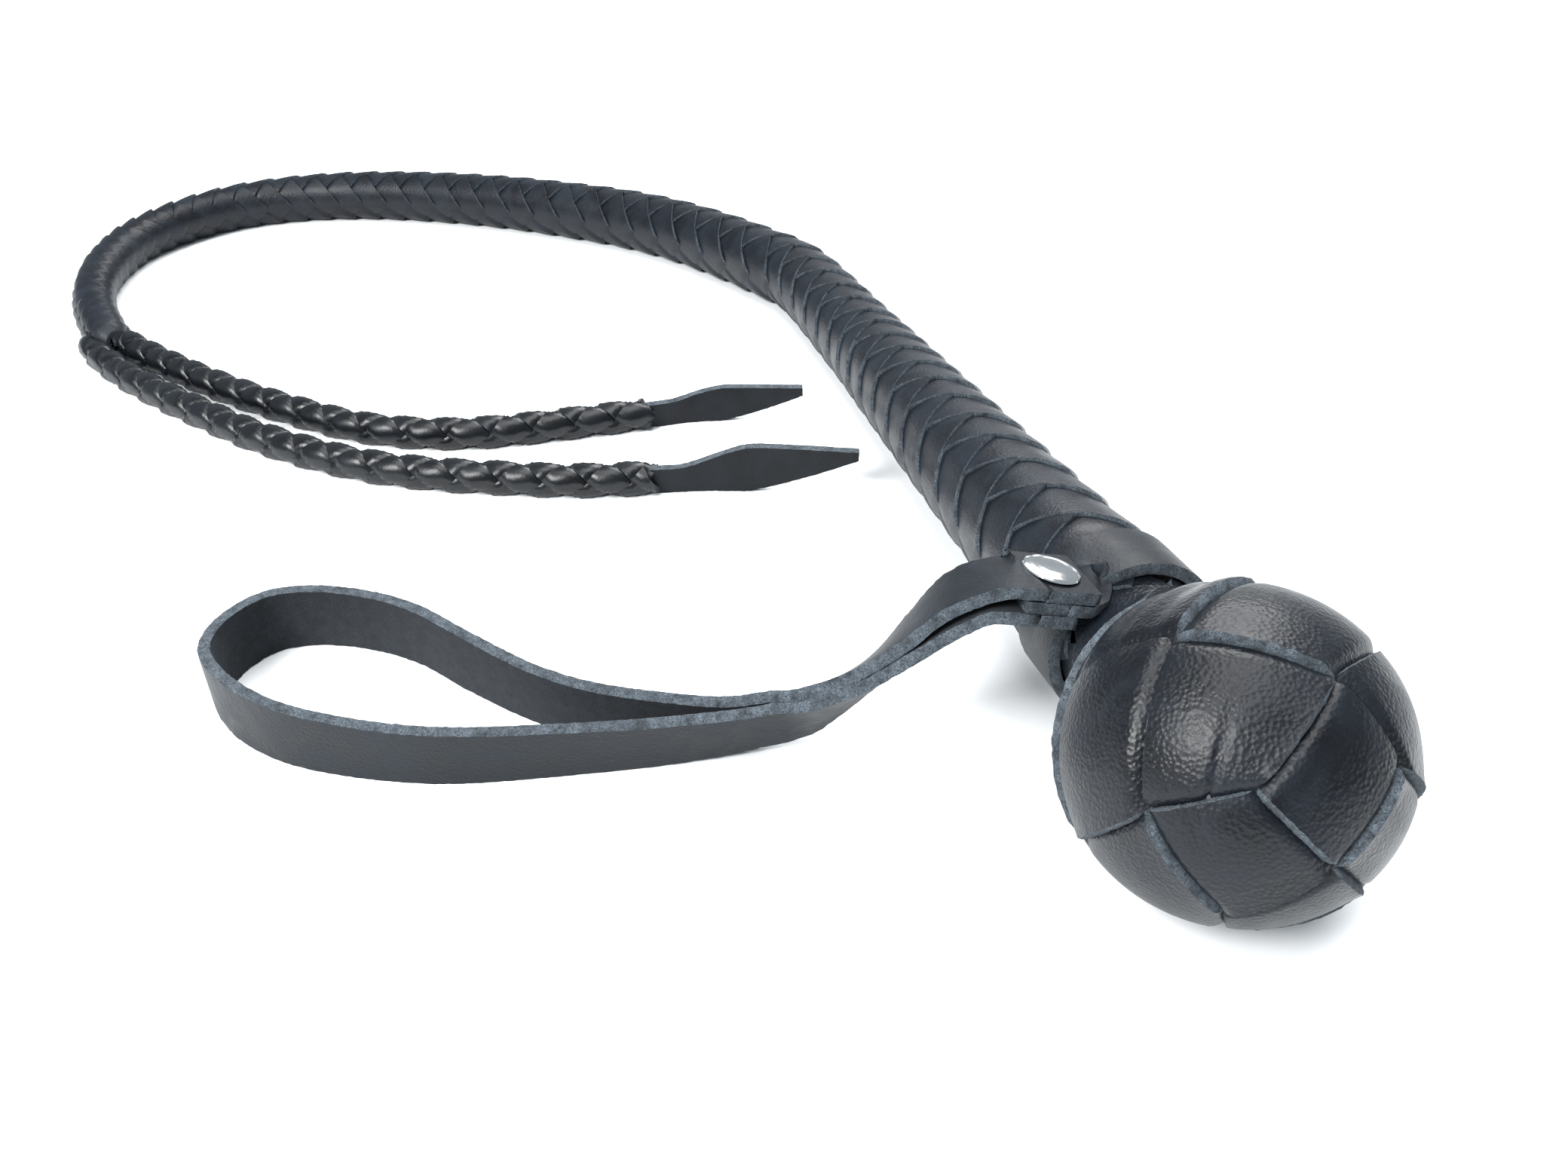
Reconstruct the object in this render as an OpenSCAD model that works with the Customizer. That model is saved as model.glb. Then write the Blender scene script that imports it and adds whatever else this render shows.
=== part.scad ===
// Plaited whip with a woven ball pommel, a stiff plaited handle, a riveted wrist strap and a
// tapering thong that forks into two round plaited tails with leather poppers.
// The ball rests on the floor at the origin, and the handle lies along +X, sloping down a little.

/* [Ball pommel] */
// Diameter over the woven leather
ball_d = 58; // [48:1:72]
// Thickness of the woven leather on the ball
cover_t = 4; // [3:0.5:5]
// Radius of the hollow curve from the ball to the neck
flare_r = 16; // [10:1:18]

/* [Handle] */
// From the middle of the ball to the handle's end
handle_l = 236; // [190:1:290]
// Diameter of the neck under the collar
neck_d = 29; // [27:0.5:32]
// Thickest diameter of the handle, just past the neck
handle_d = 32; // [32:0.5:39]
// Diameter of the rattan rod
rod_d = 12; // [9:0.5:13]
// Thickness of the plait, two crossing layers
plait_t = 3; // [2:0.25:3.5]

/* [Wrist strap] */
// Width of the strap
strap_w = 15; // [12:0.5:18]
// Thickness of the strap
strap_t = 2.5; // [2:0.1:3]
// Diameter of the rivet's cap
cap_d = 11; // [9:0.5:13]
// Diameter of the rivet's post
post_d = 4; // [3:0.5:5]

/* [Thong and tails] */
// Diameter of the thong where it leaves the handle
thong_d = 23.4; // [19.5:0.1:26]
// Diameter of the thong at the fork
fork_d = 11.8; // [9.8:0.1:14.2]
// Diameter of each tail
tail_d = 8; // [6.5:0.1:8.4]
// Thickness of the popper leather
popper_t = 2.4; // [1.6:0.2:3]
// Length of the broad popper from its root to its tip
popper_l = 48; // [40:1:56]
// Height of the broad popper, standing on edge
popper_h = 12.5; // [10:0.5:15]

/* [Fit] */
// Radial gap round the neck that lets the collar turn
turn_gap = 0.4; // [0.3:0.1:0.8]
// Gap between pieces that are pressed or glued together
seat_gap = 0.1; // [0.05:0.05:0.2]
// Gap at each hinged end, as a share of the radius
hinge_share = 0.1; // [0.1:0.01:0.2]

/* [Hidden] */
$fn = 64;

leather = "#171b21";
worn_leather = "#2a313b";
raw_leather = "#4a3a2c";
wood = "#b98d5c";
wax_cord = "#c9b48a";
nickel = "#c9ccd0";

// Ball and neck
ball_r = ball_d / 2;
core_r = ball_r - cover_t;
neck_r = neck_d / 2;
flare_x = sqrt(pow(ball_r + flare_r, 2) - pow(neck_r + flare_r, 2));
cover_end = flare_x + 1;
core_face = core_r * 0.8;
pin_d = 3;
pin_l = core_r * 1.3;
pin_x = -ball_r / 6;

// Collar, binding and the step to the handle
collar_from = cover_end + 0.6;
collar_to = collar_from + strap_w - 1;
collar_r = neck_r + turn_gap + strap_t;
step_x = collar_to + 0.6;
step_l = 3;
bind_t = 1.5;
bind_from = collar_from + 2;
bind_to = collar_to - 2;

// Handle
end_r = thong_d / 2;
dome_x = handle_l - end_r * (1 + hinge_share);
handle_tilt = asin((ball_r - end_r) / dome_x);
end_x = handle_l * cos(handle_tilt);
rod_from = -core_r * 0.6;
rod_r = rod_d / 2;

// Rivet, in the handle's own frame: x along the handle, y to the left, z up
rivet_x = collar_from + strap_w / 10;
rivet_y = collar_r * 1.08;
rivet_z = collar_r * 0.81;
tab_slope = 14;
tab_end = strap_w * 0.45;
stack = strap_t + seat_gap;
stack_top = 1.5 * strap_t + seat_gap;
cap_h = 1.3;
cap_edge = 0.3;
foot_h = 1;
foot_r = cap_d * 0.4;

// The rivet's place and its axes on the floor's frame: across the strap, along it and up
rivet_at = [rivet_x * cos(handle_tilt) + rivet_z * sin(handle_tilt), rivet_y,
            ball_r - rivet_x * sin(handle_tilt) + rivet_z * cos(handle_tilt)];
rivet_across = [cos(handle_tilt), 0, -sin(handle_tilt)];
rivet_along = [sin(tab_slope) * sin(handle_tilt), cos(tab_slope),
               sin(tab_slope) * cos(handle_tilt)];
rivet_up = cross(rivet_across, rivet_along);

// The doubled strap lies flat on the tab: how far back from the rivet each layer starts, and
// how far past the rivet both stay flat
upper_back = 6.8;
lower_back = 4;
flat_to = tab_end + 0.6;
// From there to where it opens: step in x and y from the rivet, height as a share of the
// rivet's, roll from flat to on edge, and how far each layer is from the middle
lead_way = [[3.8, 15, 0.924, 8, 1.2], [5.8, 23, 0.665, 22, 1], [8, 31.5, 0.36, 45, 0.75],
            [10, 40, 0.152, 68, 0.6], [11.8, 47, 0, 90, 0.56]];
// The open loop, standing on edge: steps in x and y from the rivet
loop_way = [[13.65, 50], [15.2, 56], [18.5, 66], [25, 79.5], [31, 89], [38, 96.5], [49, 106],
            [58.5, 113.5], [65, 120.5], [70.5, 129.5], [73.5, 138], [73.5, 146], [69, 152.5],
            [62, 156.5], [54, 156.5], [42, 149.5], [31, 136.5], [20.5, 113], [15, 83],
            [12, 62], [10.7, 50]];

// Thong: steps in x and y from the handle's end, and the points where its lengths hinge
thong_way = [[0, 0], [22, 3], [43, 11], [64, 22], [84, 35], [102, 51], [117, 69], [131, 88],
             [143, 108], [153, 129], [160, 150], [163, 172], [160, 194], [150, 212],
             [134, 226], [114, 233], [92, 235], [70, 232], [48, 225]];
thong_cuts = [0, 6, 12, 18];
thong_sides = 12;

// Tails, from the fork to where the popper's root is held
tail_a_way = [[45, 219], [29, 207], [12, 193], [-4, 178], [-18, 163], [-30, 148], [-38, 132],
              [-42, 116], [-43, 100], [-43, 84], [-43, 68]];
tail_b_way = [[42, 228], [24, 218], [6, 205], [-11, 191], [-27, 177], [-41, 162],
              [-53, 146], [-62, 129], [-69, 111], [-75, 93], [-79, 73]];
tail_sides = 8;
tail_r = tail_d / 2;

// Poppers: the slim one is a share of the broad one
slim = 0.8;
root_r = popper_t * 0.8;
root_h = tail_d * 0.9;
root_gap = 0.4;
belly_share = 0.38;
back_share = 0.25;
tip_h = 1.6;
popper_a_turn = 259;
popper_b_turn = 253;

// Angles of the rings that round off a hinged end
dome_turns = [70, 45, 20];

function unit(v) = v / norm(v);
function flip(list) = [for (i = [len(list) - 1:-1:0]) list[i]];

// The way along a list of points at each one
function heading(way, i) =
    unit(way[min(i + 1, len(way) - 1)] - way[max(i - 1, 0)]);

// A tube's ring: its middle, its heading in plan, its radius and its side count
function ring(at, along, r, sides) =
    [for (j = [0:sides - 1])
        let (a = 360 * j / sides)
        at + r * cos(a) * [-along.y, along.x, 0] + [0, 0, r * sin(a)]];

// Rings for a rounded end; side is -1 at the start of a tube and 1 at its end
function dome(at, along, r, sides, side) =
    let (rings = [for (a = dome_turns)
        ring(at + side * r * sin(a) * [along.x, along.y, 0], along, r * cos(a), sides)])
    side < 0 ? rings : flip(rings);

// A tube on the floor: skip holds its two ends back from the way's ends, in radii
function tube_at(way, radii, i, skip) =
    let (back = i == 0 ? skip : i == len(way) - 1 ? -skip : 0)
    concat(way[i] + back * radii[i] * heading(way, i), radii[i]);

function tube_rings(way, radii, sides, wall, skip) = [for (i = [0:len(way) - 1])
    ring(tube_at(way, radii, i, skip), heading(way, i), radii[i] - wall, sides)];

// A solid through a list of rings with the same number of points each
module swept(rings) {
    n = len(rings[0]);
    last = len(rings) - 1;
    polyhedron(
        points = [for (r = rings) for (p = r) p],
        faces = [
            for (i = [0:last - 1]) for (j = [0:n - 1])
                let (a = i * n + j, b = i * n + (j + 1) % n) each [[b, a, b + n], [b + n, a, a + n]],
            for (j = [1:n - 2]) [0, j, j + 1],
            for (j = [1:n - 2]) [last * n, last * n + j + 1, last * n + j]
        ]);
}

// A tube along points in plan, lying on the floor, with both ends rounded; wall is taken off
// its radius
module lying_tube(way, radii, sides, wall, skip) {
    last = len(way) - 1;
    swept(concat(
        dome(tube_at(way, radii, 0, skip), heading(way, 0), radii[0] - wall, sides, -1),
        tube_rings(way, radii, sides, wall, skip),
        dome(tube_at(way, radii, last, skip), heading(way, last), radii[last] - wall, sides, 1)));
}

// The way that a strap's upper face looks, at a roll from flat to on edge
function strap_normal(along, roll) =
    let (flat = unit(cross([0, 0, 1], along)), up = cross(along, flat))
    cross(along, cos(roll) * flat + sin(roll) * up);

// A strap's ring: its middle, its way along, its normal, and the layer's offset along that
function strap_ring(at, along, normal, off) =
    let (c = at + off * normal, w = strap_w / 2 * cross(normal, along), t = strap_t / 2 * normal)
    [c + w + t, c - w + t, c - w - t, c + w - t];

lead_line = concat([rivet_at + flat_to * rivet_along], [for (p = lead_way)
    [rivet_at.x + p[0], rivet_at.y + p[1], strap_w / 2 + p[2] * (rivet_at.z - strap_w / 2)]]);
loop_line = [for (p = loop_way) [rivet_at.x + p.x, rivet_at.y + p.y, strap_w / 2]];

module in_handle() {
    translate([0, 0, ball_r]) rotate([0, handle_tilt, 0]) children();
}

// A turned shape along the handle, from points of radius and distance along it
module turned(points) {
    rotate([0, 90, 0]) rotate_extrude() polygon(points);
}

module rod(r, from, to) {
    translate([from, 0, 0]) rotate([0, 90, 0]) cylinder(r = r, h = to - from);
}

module ball_core() {
    color(wood) in_handle() difference() {
        sphere(r = core_r - seat_gap);
        translate([core_face, -ball_r, -ball_r]) cube([ball_r, ball_d, ball_d]);
        rod(rod_r + seat_gap, rod_from - seat_gap, ball_r);
        pin_bore(seat_gap);
    }
}

module pin_bore(gap) {
    translate([pin_x, -pin_l / 2 - gap, 0]) rotate([-90, 0, 0])
        cylinder(r = pin_d / 2 + gap, h = pin_l + 2 * gap);
}

module rod_pin() {
    color(wood) in_handle() pin_bore(0);
}

module core_rod() {
    color(wood) in_handle() difference() {
        rod(rod_r, rod_from, dome_x);
        pin_bore(seat_gap);
    }
}

module ball_cover() {
    turn_at = atan2(flare_x, neck_r + flare_r);
    color(leather) in_handle() difference() {
        turned(concat(
            [for (a = [-90:6:turn_at - 3]) ball_r * [cos(a), sin(a)]],
            [for (a = [turn_at:-6:3])
                [neck_r + flare_r - flare_r * cos(a), flare_x - flare_r * sin(a)]],
            [[neck_r, flare_x], [neck_r, cover_end], [0, cover_end]]));
        sphere(r = core_r);
        rod(neck_r - plait_t, core_face / 2, ball_d);
    }
}

module handle_bolster() {
    gap = plait_t + seat_gap;
    color(raw_leather) in_handle() turned([
        [rod_r + seat_gap, core_face + seat_gap], [neck_r - gap, core_face + seat_gap],
        [neck_r - gap, step_x], [handle_d / 2 - gap, step_x + step_l], [end_r - gap, dome_x],
        [rod_r + seat_gap, dome_x]]);
}

module handle_plait() {
    color(worn_leather) in_handle() turned(concat(
        [[neck_r - plait_t, cover_end + seat_gap], [neck_r, cover_end + seat_gap],
         [neck_r, bind_from], [neck_r - bind_t, bind_from], [neck_r - bind_t, bind_to],
         [neck_r, bind_to], [neck_r, step_x]],
        [for (a = [20:20:80])
            [neck_r + (handle_d / 2 - neck_r) * sin(a), step_x + step_l * (1 - cos(a))]],
        [[handle_d / 2, step_x + step_l]],
        [for (a = [0:10:90]) [end_r * cos(a), dome_x + end_r * sin(a)]],
        [[0, dome_x + seat_gap], [end_r - plait_t, dome_x + seat_gap],
         [end_r - plait_t, dome_x], [handle_d / 2 - plait_t, step_x + step_l],
         [neck_r - plait_t, step_x]]));
}

module neck_binding() {
    color(wax_cord) in_handle() turned([
        [neck_r - bind_t + seat_gap, bind_from + seat_gap], [neck_r - seat_gap, bind_from + seat_gap],
        [neck_r - seat_gap, bind_to - seat_gap], [neck_r - bind_t + seat_gap, bind_to - seat_gap]]);
}

// Puts its children at the rivet, with z along the rivet's axis and y along the tab
module at_rivet() {
    in_handle() translate([rivet_x, rivet_y, rivet_z]) rotate([tab_slope, 0, 0]) children();
}

module rivet_hole() {
    at_rivet() cylinder(r = post_d / 2 + seat_gap, h = 8 * strap_t, center = true);
}

module strap_collar() {
    color(worn_leather) difference() {
        union() {
            in_handle() rod(collar_r, collar_from, collar_to);
            at_rivet() translate([-strap_w / 2, -collar_r, -strap_t / 2])
                cube([strap_w, collar_r + tab_end, strap_t]);
        }
        in_handle() rod(neck_r + turn_gap, collar_from - strap_w, collar_to + strap_w);
        in_handle() rod(collar_r, collar_from - strap_w, collar_from);
        rivet_hole();
    }
}

// One layer of the doubled strap, flat under the rivet's cap and then turning down to the
// floor; side is 1 for the upper and -1 for the lower
module strap_lead(side, back) {
    last = len(lead_line) - 1;
    level = unit([lead_line[last].x - lead_line[last - 1].x,
                  lead_line[last].y - lead_line[last - 1].y, 0]);
    difference() {
        swept(concat(
            [for (s = [-back, flat_to])
                strap_ring(rivet_at + s * rivet_along, rivet_along, rivet_up, side * stack)],
            [for (i = [1:last])
                let (along = i == last ? level : heading(lead_line, i))
                strap_ring(lead_line[i], along, strap_normal(along, lead_way[i - 1][3]),
                           side * stack * lead_way[i - 1][4])]));
        rivet_hole();
    }
}

module strap_lead_upper() {
    color(worn_leather) strap_lead(1, upper_back);
}

module strap_lead_lower() {
    color(worn_leather) strap_lead(-1, lower_back);
}

module strap_loop() {
    color(leather) swept([for (i = [0:len(loop_way) - 1])
        let (along = heading(loop_line, i))
        strap_ring(loop_line[i], along, strap_normal(along, 90), 0)]);
}

// The cap sits on the upper layer, and the post's foot is under the lower one
module rivet_cap() {
    color(nickel) at_rivet() translate([0, 0, stack_top + 2 * seat_gap]) rotate_extrude()
        polygon(concat(
            [[0, 0], [cap_d / 2 - cap_edge, 0]],
            [for (a = [0:15:90])
                [cap_d / 2 * cos(a), cap_edge + (cap_h - cap_edge) * sin(a)]]));
}

module rivet_post() {
    color(nickel) at_rivet() translate([0, 0, -stack_top - seat_gap]) {
        cylinder(r = post_d / 2, h = 2 * stack_top + 2 * seat_gap);
        translate([0, 0, -foot_h]) cylinder(r = foot_r, h = foot_h);
    }
}

function thong_r(i) = (thong_d + (fork_d - thong_d) * i / (len(thong_way) - 1)) / 2;

// The points that one length of the thong runs through, from hinge to hinge
function thong_spots(k) = [for (i = [thong_cuts[k - 1]:thong_cuts[k]]) i];
function thong_part(k) = [for (i = thong_spots(k)) thong_way[i]];
function thong_radii(k) = [for (i = thong_spots(k)) thong_r(i)];

module thong_length(k, wall) {
    translate([end_x, 0, 0])
        lying_tube(thong_part(k), thong_radii(k), thong_sides, wall, 1 + hinge_share);
}

// The hollow that the core lies in, open at both ends
module thong_hollow(k) {
    way = thong_part(k);
    radii = thong_radii(k);
    last = len(way) - 1;
    mouth = [for (i = [0, last])
        ring(tube_at(way, radii, i, 0), heading(way, i), radii[i] - plait_t, thong_sides)];
    translate([end_x, 0, 0]) swept(concat(
        [mouth[0]], tube_rings(way, radii, thong_sides, plait_t, 1 + hinge_share), [mouth[1]]));
}

module thong_plait(k) {
    color(leather) difference() {
        thong_length(k, 0);
        thong_hollow(k);
    }
}

module thong_core(k) {
    color(raw_leather) thong_length(k, plait_t + seat_gap);
}

module tail_plait(way) {
    color(leather) translate([end_x, 0, 0])
        lying_tube(way, [for (p = way) tail_r], tail_sides, 0, 0);
}

// A leaf standing on edge: a straight back, a belly on the floor and a tip held up
module popper(way, turn, length, height) {
    last = len(way) - 1;
    root_at = way[last] + (tail_r + root_gap + root_r) * heading(way, last);
    belly = length * belly_share;
    color(worn_leather) translate([end_x + root_at.x, root_at.y, 0]) rotate([0, 0, turn]) {
        cylinder(r = root_r, h = root_h);
        rotate([90, 0, 0]) linear_extrude(popper_t, center = true) polygon(concat(
            [[0, 0], [belly, 0]],
            [for (s = [0.2:0.2:1])
                [belly + (length - belly) * s, (height - tip_h) * pow(s, 1.3)]],
            [[length, height]],
            [for (s = [1:-0.2:0])
                [length * back_share * s, root_h + (height - root_h) * sin(90 * s)]]));
    }
}

ball_core();
rod_pin();
ball_cover();
core_rod();
handle_bolster();
handle_plait();
neck_binding();
strap_collar();
strap_lead_upper();
strap_lead_lower();
strap_loop();
rivet_cap();
rivet_post();
thong_plait(1);  // thong_plait_1
thong_plait(2);  // thong_plait_2
thong_plait(3);  // thong_plait_3
thong_core(1);  // thong_core_1
thong_core(2);  // thong_core_2
thong_core(3);  // thong_core_3
tail_plait(tail_a_way);  // tail_plait_a
tail_plait(tail_b_way);  // tail_plait_b
popper(tail_a_way, popper_a_turn, popper_l * slim, popper_h * slim);  // popper_a
popper(tail_b_way, popper_b_turn, popper_l, popper_h);  // popper_b
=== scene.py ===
"""A plaited leather whip on a pale floor: woven ball, plaited handle, wrist strap, thong, tails.

Everything is in metres and in the CAD model's frame; lengths below are written in millimetres and
scaled once. Plaits are woven strand by strand, each strand a strip with cut edges.
"""
import math

import bmesh
import bpy
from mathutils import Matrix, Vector, noise


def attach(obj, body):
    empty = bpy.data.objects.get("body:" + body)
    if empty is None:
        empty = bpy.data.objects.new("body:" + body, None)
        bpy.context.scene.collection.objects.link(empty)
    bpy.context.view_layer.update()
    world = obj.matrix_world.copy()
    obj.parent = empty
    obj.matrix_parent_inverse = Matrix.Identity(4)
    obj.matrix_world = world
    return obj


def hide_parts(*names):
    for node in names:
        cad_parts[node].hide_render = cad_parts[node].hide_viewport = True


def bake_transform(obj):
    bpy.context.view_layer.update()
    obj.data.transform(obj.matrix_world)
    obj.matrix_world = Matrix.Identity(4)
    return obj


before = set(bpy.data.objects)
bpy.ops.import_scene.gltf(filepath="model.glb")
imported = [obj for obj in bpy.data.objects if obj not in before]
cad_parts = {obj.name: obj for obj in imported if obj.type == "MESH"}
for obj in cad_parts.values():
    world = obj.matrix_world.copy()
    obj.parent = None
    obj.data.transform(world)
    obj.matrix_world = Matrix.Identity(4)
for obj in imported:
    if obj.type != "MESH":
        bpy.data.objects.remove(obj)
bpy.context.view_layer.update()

MM = 0.001
UP = Vector((0, 0, 1))

# The ball, its hollow curve into the neck, and the handle, as the CAD model has them
BALL_R = 29.0
NECK_R = 14.5
FLARE_R = 16.0
HANDLE_R = 16.0
THONG_R = 11.7
FORK_R = 5.9
TAIL_R = 4.0
STRAP_W = 15.0
STRAP_T = 2.5
END_X = 235.29
DOME_X = 223.13
TILT = math.asin((BALL_R - THONG_R) / DOME_X)
FLARE_X = math.sqrt((BALL_R + FLARE_R) ** 2 - (NECK_R + FLARE_R) ** 2)
FLARE_TURN = math.atan2(FLARE_X, NECK_R + FLARE_R)
STEP_X = 49.3

# Where the handle's own axes point
ALONG = Vector((math.cos(TILT), 0, -math.sin(TILT)))
LEFT = Vector((0, 1, 0))
TOP = Vector((math.sin(TILT), 0, math.cos(TILT)))
BALL_AT = Vector((0, 0, BALL_R))

# The thong from the handle's end, and each tail from the fork, in plan
THONG_WAY = [(0, 0), (22, 3), (43, 11), (64, 22), (84, 35), (102, 51), (117, 69), (131, 88),
             (143, 108), (153, 129), (160, 150), (163, 172), (160, 194), (150, 212), (134, 226),
             (114, 233), (92, 235), (70, 232), (48, 225)]
TAIL_A_WAY = [(53.6, 224), (45, 219), (29, 207), (12, 193), (-4, 178), (-18, 163), (-30, 148),
              (-38, 132), (-42, 116), (-43, 100), (-43, 84), (-43, 68)]
TAIL_B_WAY = [(52, 229), (42, 228), (24, 218), (6, 205), (-11, 191), (-27, 177), (-41, 162),
              (-53, 146), (-62, 129), (-69, 111), (-75, 93), (-79, 73)]


# ---------------------------------------------------------------- camera, light and floor

def set_camera():
    data = bpy.data.cameras.new("camera")
    data.sensor_width = 36
    data.lens = 29.42
    data.clip_start = 0.01
    camera = bpy.data.objects.new("camera", data)
    camera.location = (-0.1354, 0.1134, 0.177)
    look = Vector((0.787, -0.2065, -0.5807))
    camera.rotation_euler = look.to_track_quat("-Z", "Y").to_euler()
    bpy.context.collection.objects.link(camera)
    bpy.context.scene.camera = camera


def soft_light(name, place, target, size, power):
    data = bpy.data.lights.new(name, "AREA")
    data.size = size
    data.energy = power
    light = bpy.data.objects.new(name, data)
    light.location = place
    light.rotation_euler = (Vector(target) - Vector(place)).to_track_quat("-Z", "Y").to_euler()
    bpy.context.collection.objects.link(light)


def light_the_room():
    world = bpy.data.worlds.new("pale_room")
    bpy.context.scene.world = world
    world.use_nodes = True
    sky = world.node_tree.nodes["Background"]
    sky.inputs["Color"].default_value = (0.84, 0.93, 1.0, 1)
    sky.inputs["Strength"].default_value = 0.5
    soft_light("window_left", (-0.3, 0.8, 0.75), (0.1, 0.05, 0.0), 0.45, 20)
    soft_light("window_back", (0.8, -0.4, 0.85), (0.1, 0.05, 0.0), 0.7, 14)
    soft_light("overhead", (0.1, 0.1, 1.4), (0.1, 0.1, 0.0), 1.0, 18)
    bpy.context.scene.view_settings.view_transform = "Standard"


# ---------------------------------------------------------------- materials

def colour(hex_code):
    """An sRGB hex value as linear RGBA."""
    parts = [int(hex_code[i:i + 2], 16) / 255 for i in (1, 3, 5)]
    return [c / 12.92 if c <= 0.04045 else ((c + 0.055) / 1.055) ** 2.4 for c in parts] + [1.0]


def node(tree, kind, settings=(), values=(), links=()):
    """Adds a node: settings are properties, values are sockets, links are (socket, from) pairs."""
    made = tree.nodes.new(kind)
    for key, value in dict(settings).items():
        setattr(made, key, value)
    for key, value in dict(values).items():
        made.inputs[key].default_value = value
    for key, source in links:
        tree.links.new(source, made.inputs[key])
    return made


def start_material(name, values):
    material = bpy.data.materials.new(name)
    material.use_nodes = True
    tree = material.node_tree
    shader = tree.nodes["Principled BSDF"]
    for key, value in values.items():
        shader.inputs[key].default_value = value
    place = node(tree, "ShaderNodeTexCoord")
    return material, tree, shader, place.outputs["Object"]


def ramp(tree, source, low, high):
    made = node(tree, "ShaderNodeMapRange", values={"From Min": low, "From Max": high},
                links=[("Value", source)])
    return made.outputs["Result"]


def grained_leather(name, base, worn, rough, grain_mm, grain_depth, gloss):
    """Drum-dyed cowhide: pebbled grain, a soft waxy gloss that breaks up, and dye a little
    paler in patches."""
    material, tree, shader, place = start_material(name, {
        "IOR": 1.46, "Specular IOR Level": 0.27, "Sheen Weight": 0.02, "Sheen Roughness": 0.5,
        "Coat Weight": gloss, "Coat Roughness": 0.32})
    shader.inputs["Sheen Tint"].default_value = colour("#9fb0c4")
    pebbles = node(tree, "ShaderNodeTexVoronoi", {"feature": "SMOOTH_F1"},
                   {"Scale": 1 / (grain_mm * MM), "Smoothness": 0.35, "Randomness": 1.0},
                   [("Vector", place)])
    pores = node(tree, "ShaderNodeTexNoise", {}, {"Scale": 1 / (0.35 * MM), "Detail": 2.0},
                 [("Vector", place)])
    creases = node(tree, "ShaderNodeTexNoise", {}, {"Scale": 1 / (9 * MM), "Detail": 3.0,
                                                   "Distortion": 0.8}, [("Vector", place)])
    patches = ramp(tree, creases.outputs["Fac"], 0.38, 0.66)
    dye = node(tree, "ShaderNodeMix", {"data_type": "RGBA"}, {}, [("Factor", patches)])
    dye.inputs[6].default_value = colour(base)
    dye.inputs[7].default_value = colour(worn)
    tree.links.new(dye.outputs[2], shader.inputs["Base Color"])
    waxy = node(tree, "ShaderNodeMapRange", {}, {"From Min": 0.3, "From Max": 0.7,
                                                "To Min": rough - 0.07, "To Max": rough + 0.09},
                [("Value", creases.outputs["Fac"])])
    tree.links.new(waxy.outputs["Result"], shader.inputs["Roughness"])
    soft = node(tree, "ShaderNodeBump", {}, {"Strength": 0.35, "Distance": 0.0002},
                [("Height", creases.outputs["Fac"])])
    fine = node(tree, "ShaderNodeBump", {}, {"Strength": 0.25, "Distance": 0.00005},
                [("Height", pores.outputs["Fac"]), ("Normal", soft.outputs["Normal"])])
    grain = node(tree, "ShaderNodeBump", {}, {"Strength": grain_depth, "Distance": 0.00016},
                 [("Height", pebbles.outputs["Distance"]), ("Normal", fine.outputs["Normal"])])
    tree.links.new(grain.outputs["Normal"], shader.inputs["Normal"])
    return material


def cut_leather(name, dark, light, fibre_mm):
    """A knife-cut edge or a flesh side: no finish, only matted fibres that catch the light."""
    material, tree, shader, place = start_material(name, {
        "Roughness": 0.92, "IOR": 1.45, "Sheen Weight": 0.1, "Sheen Roughness": 0.6})
    shader.inputs["Sheen Tint"].default_value = colour("#8b949d")
    fibres = node(tree, "ShaderNodeTexNoise", {}, {"Scale": 1 / (fibre_mm * MM), "Detail": 4.0,
                                                  "Roughness": 0.7, "Distortion": 1.2},
                  [("Vector", place)])
    tufts = node(tree, "ShaderNodeTexNoise", {}, {"Scale": 1 / (2.2 * MM), "Detail": 2.0},
                 [("Vector", place)])
    mixed = node(tree, "ShaderNodeMath", {"operation": "MULTIPLY"}, {},
                 [(0, ramp(tree, fibres.outputs["Fac"], 0.36, 0.68)),
                  (1, ramp(tree, tufts.outputs["Fac"], 0.15, 0.6))])
    dye = node(tree, "ShaderNodeMix", {"data_type": "RGBA"}, {}, [("Factor", mixed.outputs[0])])
    dye.inputs[6].default_value = colour(dark)
    dye.inputs[7].default_value = colour(light)
    tree.links.new(dye.outputs[2], shader.inputs["Base Color"])
    nap = node(tree, "ShaderNodeBump", {}, {"Strength": 0.9, "Distance": 0.0003},
               [("Height", fibres.outputs["Fac"])])
    tree.links.new(nap.outputs["Normal"], shader.inputs["Normal"])
    return material


def polished_nickel():
    """Nickel-plated brass: a bright mirror with faint rubbing marks."""
    material, tree, shader, place = start_material("polished_nickel", {
        "Base Color": colour("#d9dadb"), "Metallic": 1.0, "Roughness": 0.12})
    rubs = node(tree, "ShaderNodeTexNoise", {}, {"Scale": 1 / (1.2 * MM), "Detail": 3.0},
                [("Vector", place)])
    worn = node(tree, "ShaderNodeMapRange", {}, {"To Min": 0.07, "To Max": 0.2},
                [("Value", rubs.outputs["Fac"])])
    tree.links.new(worn.outputs["Result"], shader.inputs["Roughness"])
    return material


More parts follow.
